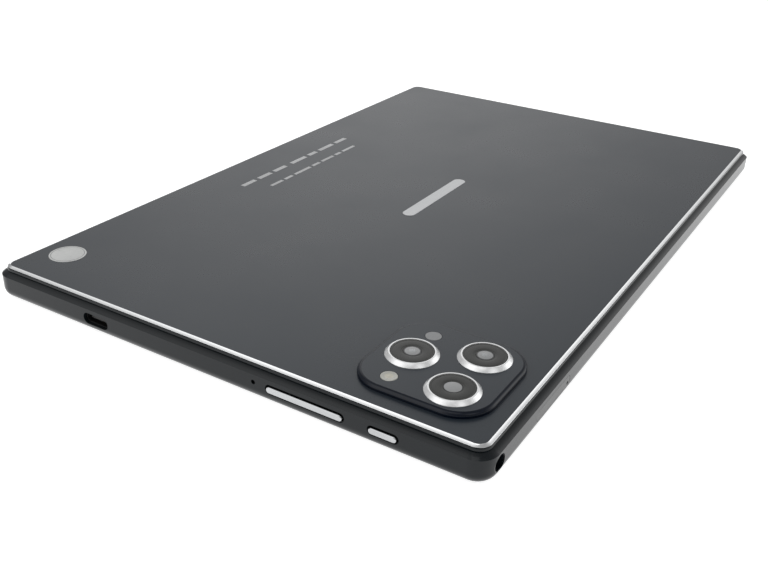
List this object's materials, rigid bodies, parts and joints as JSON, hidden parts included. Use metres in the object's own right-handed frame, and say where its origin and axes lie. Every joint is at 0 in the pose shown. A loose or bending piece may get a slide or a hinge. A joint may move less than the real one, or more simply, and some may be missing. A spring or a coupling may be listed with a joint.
{
  "type": "tablet computer",
  "caption": "Thin slab tablet computer with a metal rear cover, bright chamfered edge, raised camera block, side keys, headphone and charging sockets and a card tray.",
  "frame": {"origin": "centre of the screen glass's outer face, on the surface the tablet lies on, screen down", "axes": "+Z out of the rear cover, +Y along the long side away from the camera block, +X across the short side, towards the headphone socket and card tray"},
  "size_m": [0.1594, 0.243, 0.0123],
  "materials": {
    "cover_glass": "polished clear glass",
    "bezel_ink": "printed black ink",
    "lcd_cell": "dark, switched off",
    "light_guide": "clear acrylic sheet",
    "tray_metal": "plain sheet",
    "adhesive": "matte foam tape",
    "frame_metal": "bead-blasted, dark grey anodised",
    "mid_plate": "plain sheet",
    "cover_metal": "bead-blasted, dark grey anodised, bright polished chamfer",
    "bump_gloss": "deep glossy black",
    "ring_chrome": "polished, bevelled",
    "disc_black": "satin black",
    "lens_glass": "coated lens",
    "flash_lens": "frosted, faint yellow",
    "sensor_window": "smoked",
    "label_film": "thin film sticker, blank",
    "badge": "blank, satin",
    "print_ink": "light grey ink",
    "key_metal": "bright brushed",
    "dome_steel": "spring steel",
    "flex": "polyimide film",
    "bracket_steel": "plain",
    "socket_steel": "plain",
    "socket_plastic": "moulded",
    "contact_brass": "gilt",
    "tray_face": "anodised",
    "eject_steel": "plain",
    "board": "solder mask",
    "can_steel": "tinned",
    "chip": "moulded",
    "cell_foil": "laminated pouch",
    "speaker_box": "moulded",
    "antenna": "plated film",
    "coax": "jacketed",
    "camera_body": "moulded",
    "led_board": "white",
    "screw_steel": "zinc"
  },
  "bodies": {
    "case": {"cover_glass": "cover_glass", "bezel_mask": "bezel_ink", "display_panel": "lcd_cell", "light_guide": "light_guide", "backlight_tray": "tray_metal", "display_gasket": "adhesive", "side_frame": "frame_metal", "mid_plate": "mid_plate", "rear_cover": "cover_metal", "camera_bump": "bump_gloss", "lens_ring_1": "ring_chrome", "lens_ring_2": "ring_chrome", "lens_ring_3": "ring_chrome", "lens_disc_1": "disc_black", "lens_disc_2": "disc_black", "lens_disc_3": "disc_black", "lens_glass_1": "lens_glass", "lens_glass_2": "lens_glass", "lens_glass_3": "lens_glass", "flash_lens": "flash_lens", "sensor_window": "sensor_window", "round_label": "label_film", "badge": "badge", "rear_print": "print_ink", "key_domes": "dome_steel", "key_flex": "flex", "key_bracket": "bracket_steel", "usb_shell": "socket_steel", "usb_tongue": "socket_plastic", "jack_body": "socket_plastic", "jack_contacts": "contact_brass", "card_connector": "socket_plastic", "card_contacts": "contact_brass", "mainboard": "board", "shield_can_1": "can_steel", "shield_can_2": "can_steel", "processor": "chip", "memory_chips": "chip", "battery_cells": "cell_foil", "battery_board": "board", "battery_lead": "flex", "speaker_left": "speaker_box", "speaker_right": "speaker_box", "microphone": "can_steel", "wifi_antenna": "antenna", "cell_antenna": "antenna", "coax_cable": "coax", "display_flex": "flex", "touch_flex": "flex", "camera_module_1": "camera_body", "camera_module_2": "camera_body", "flash_led": "led_board", "front_camera": "camera_body", "plate_screws": "screw_steel", "board_screws": "screw_steel"},
    "volume_key": {"volume_rocker": "key_metal"},
    "power_key": {"power_button": "key_metal"},
    "tray": {"card_tray": "tray_face"},
    "ejector_rod": {"eject_rod": "eject_steel"},
    "ejector_lever": {"eject_lever": "eject_steel"}
  },
  "joints": [
    {"name": "volume_rock", "type": "hinge", "parent": "case", "child": "volume_key", "pos_m": [0.03115, -0.1163, 0.0048], "axis": [0, 0, 1], "range_deg": [-1.4, 1.4], "stiffness_Nm_per_rad": 0.06},
    {"name": "power_press", "type": "slide", "parent": "case", "child": "power_key", "axis": [0, 1, 0], "range_m": [0, 0.00025], "stiffness_N_per_m": 600},
    {"name": "tray_slide", "type": "slide", "parent": "case", "child": "tray", "axis": [1, 0, 0], "range_m": [0, 0.028]},
    {"name": "eject_push", "type": "slide", "parent": "case", "child": "ejector_rod", "axis": [-1, 0, 0], "range_m": [0, 0.0014]},
    {"name": "eject_swing", "type": "hinge", "parent": "case", "child": "ejector_lever", "pos_m": [0.0446, -0.083, 0.00365], "axis": [0, 0, 1], "range_deg": [0, 12.2]}
  ],
  "couplings": [
    {"joint": "eject_swing", "follows": "eject_push", "rad_per_m": 148.1}
  ]
}
